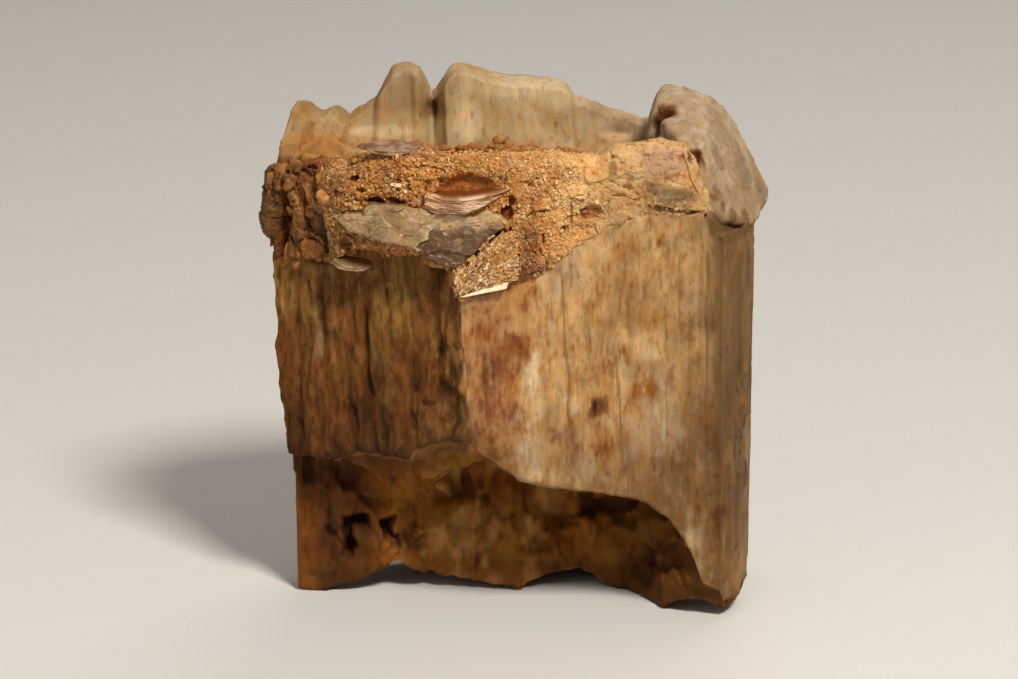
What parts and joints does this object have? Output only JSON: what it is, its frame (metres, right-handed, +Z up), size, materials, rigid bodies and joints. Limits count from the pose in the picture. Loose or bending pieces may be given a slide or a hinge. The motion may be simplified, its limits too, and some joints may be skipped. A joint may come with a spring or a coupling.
{
  "type": "hambergite crystal specimen",
  "caption": "Stubby upright mineral crystal, broken hollow at the foot, stepped at the top, with a grainy crust and mica flakes across its front.",
  "frame": {"origin": "on the resting plane, under the middle of the outline", "axes": "+Z up along the crystal's own length, +X to the right across its widest face, +Y from the front face to the back"},
  "size_m": [0.0399, 0.0208, 0.0421],
  "materials": {
    "crystal": "cream to tan milky crystal with fine upright striations, iron stains and a waxy gloss",
    "crust": "orange-tan sugary grains with small glints and brown pits",
    "feldspar": "grey to olive translucent plate with a fine sparkle",
    "mica": "mauve-pink pearly mica in thin shiny layers"
  },
  "bodies": {
    "root": {"hambergite_crystal": "crystal", "albite_crust": "crust", "feldspar_plate": "feldspar", "lepidolite_book": "mica", "lepidolite_flake": "mica", "lepidolite_lens": "mica"}
  },
  "joints": []
}
